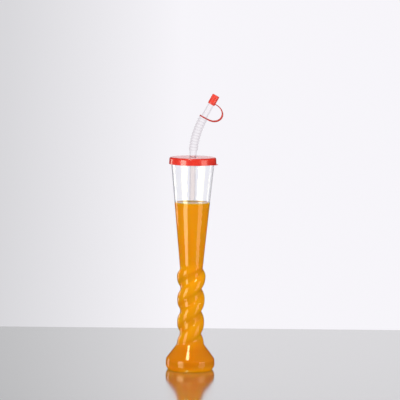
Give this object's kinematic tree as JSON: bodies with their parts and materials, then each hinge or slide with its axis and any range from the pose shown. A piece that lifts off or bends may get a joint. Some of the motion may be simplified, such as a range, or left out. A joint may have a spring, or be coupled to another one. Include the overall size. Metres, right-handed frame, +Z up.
{
  "type": "yard cup",
  "caption": "Tall clear drinking cup with a conical head, a stem twisted from two strands and a bell base, with a push-on lid, a bendable straw and a tethered tip cap.",
  "frame": {"origin": "middle of the cup's flat foot, on the table", "axes": "+Z up along the cup's axis; the straw bends towards +X; the picture looks along +Y"},
  "size_m": [0.0781, 0.0714, 0.4033],
  "materials": {
    "clear_pet": "clear blow-moulded PET, smooth",
    "orange_drink": "clear orange drink",
    "red_ldpe": "moulded red LDPE, half gloss",
    "clear_pp": "clear extruded PP, half gloss"
  },
  "bodies": {
    "cup": {"cup_shell": "clear_pet", "drink": "orange_drink"},
    "lid": {"lid": "red_ldpe"},
    "straw": {"straw_tube": "clear_pp"},
    "bend": {"straw_bellows": "clear_pp"},
    "mouthpiece": {"straw_mouthpiece": "clear_pp"},
    "ring": {"tether_ring": "red_ldpe", "cap_tether": "red_ldpe"},
    "cap": {"tip_cap": "red_ldpe"}
  },
  "joints": [
    {"name": "lid_lift", "type": "slide", "parent": "cup", "child": "lid", "axis": [0, 0, 1], "range_m": [0, 0.06]},
    {"name": "straw_slide", "type": "slide", "parent": "lid", "child": "straw", "axis": [0, 0, 1], "range_m": [0, 0.16]},
    {"name": "straw_turn", "type": "hinge", "parent": "straw", "child": "bend", "pos_m": [0, 0, 0.312], "axis": [0, 0, 1], "continuous": true},
    {"name": "straw_bend", "type": "hinge", "parent": "bend", "child": "mouthpiece", "pos_m": [0, 0, 0.34105], "axis": [0, 1, 0], "range_deg": [-28.5, 61.5], "deforming": ["straw_bellows"]},
    {"name": "ring_turn", "type": "hinge", "parent": "mouthpiece", "child": "ring", "pos_m": [0.01451, 0, 0.36778], "axis": [0.4772, 0, 0.8788], "continuous": true},
    {"name": "cap_pull", "type": "slide", "parent": "ring", "child": "cap", "axis": [0.4772, 0, 0.8788], "range_m": [0, 0.016], "deforming": ["cap_tether"]}
  ]
}
